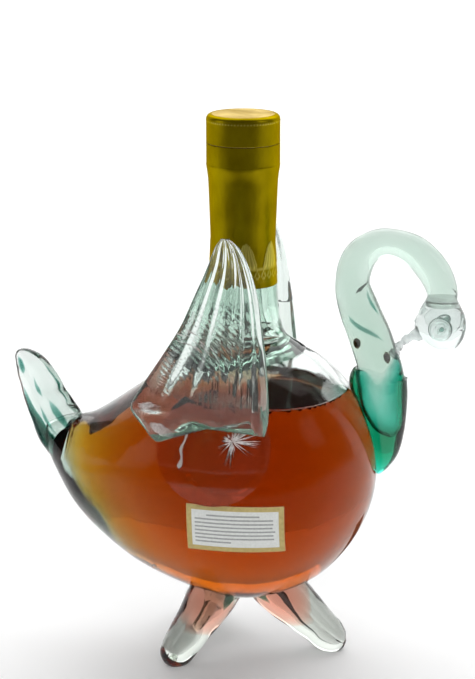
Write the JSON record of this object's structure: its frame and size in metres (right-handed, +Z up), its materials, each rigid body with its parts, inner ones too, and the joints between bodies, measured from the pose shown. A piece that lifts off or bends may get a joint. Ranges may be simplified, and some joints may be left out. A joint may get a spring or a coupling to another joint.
{
  "type": "swan-shaped glass spirit decanter",
  "caption": "Hand-blown glass decanter in the shape of a swan, with an upright neck, a bar-top stopper under foil, and drawn glass feet.",
  "frame": {"origin": "on the table, under the middle of the decanter's bounding box", "axes": "+Z up, +X towards the swan's head, +Y towards the swan's left side"},
  "size_m": [0.2122, 0.1216, 0.2544],
  "materials": {
    "clear_glass": "fire-polished recycled glass, slightly aqua",
    "green_glass": "thick glass, deep aqua green",
    "spirit": "clear amber liquid",
    "foil": "gold-lacquered foil, satin, with fine crinkles",
    "oak": "turned and waxed",
    "cork": "agglomerated cork",
    "label": "uncoated paper with a gold border"
  },
  "bodies": {
    "bottle": {"body_shell": "clear_glass", "spirit_fill": "spirit", "bottle_neck": "clear_glass", "lip_ring": "clear_glass", "capsule_skirt": "foil", "breast_gather": "green_glass", "swan_neck": "clear_glass", "swan_head": "clear_glass", "beak": "clear_glass", "eye_right": "green_glass", "eye_left": "green_glass", "wing_pad_right": "clear_glass", "wing_pad_left": "clear_glass", "wing_right": "clear_glass", "wing_left": "clear_glass", "tail": "clear_glass", "foot_front": "clear_glass", "foot_back_right": "clear_glass", "foot_back_left": "clear_glass", "back_label": "label"},
    "stopper": {"cork_shank": "cork", "stopper_head": "oak"},
    "foil_top": {"capsule_cap": "foil", "capsule_disc": "foil"}
  },
  "joints": [
    {"name": "stopper_pull", "type": "slide", "parent": "bottle", "child": "stopper", "axis": [0, 0, 1], "range_m": [0, 0.055]},
    {"name": "foil_lift", "type": "slide", "parent": "stopper", "child": "foil_top", "axis": [0, 0, 1], "range_m": [0, 0.03]}
  ]
}
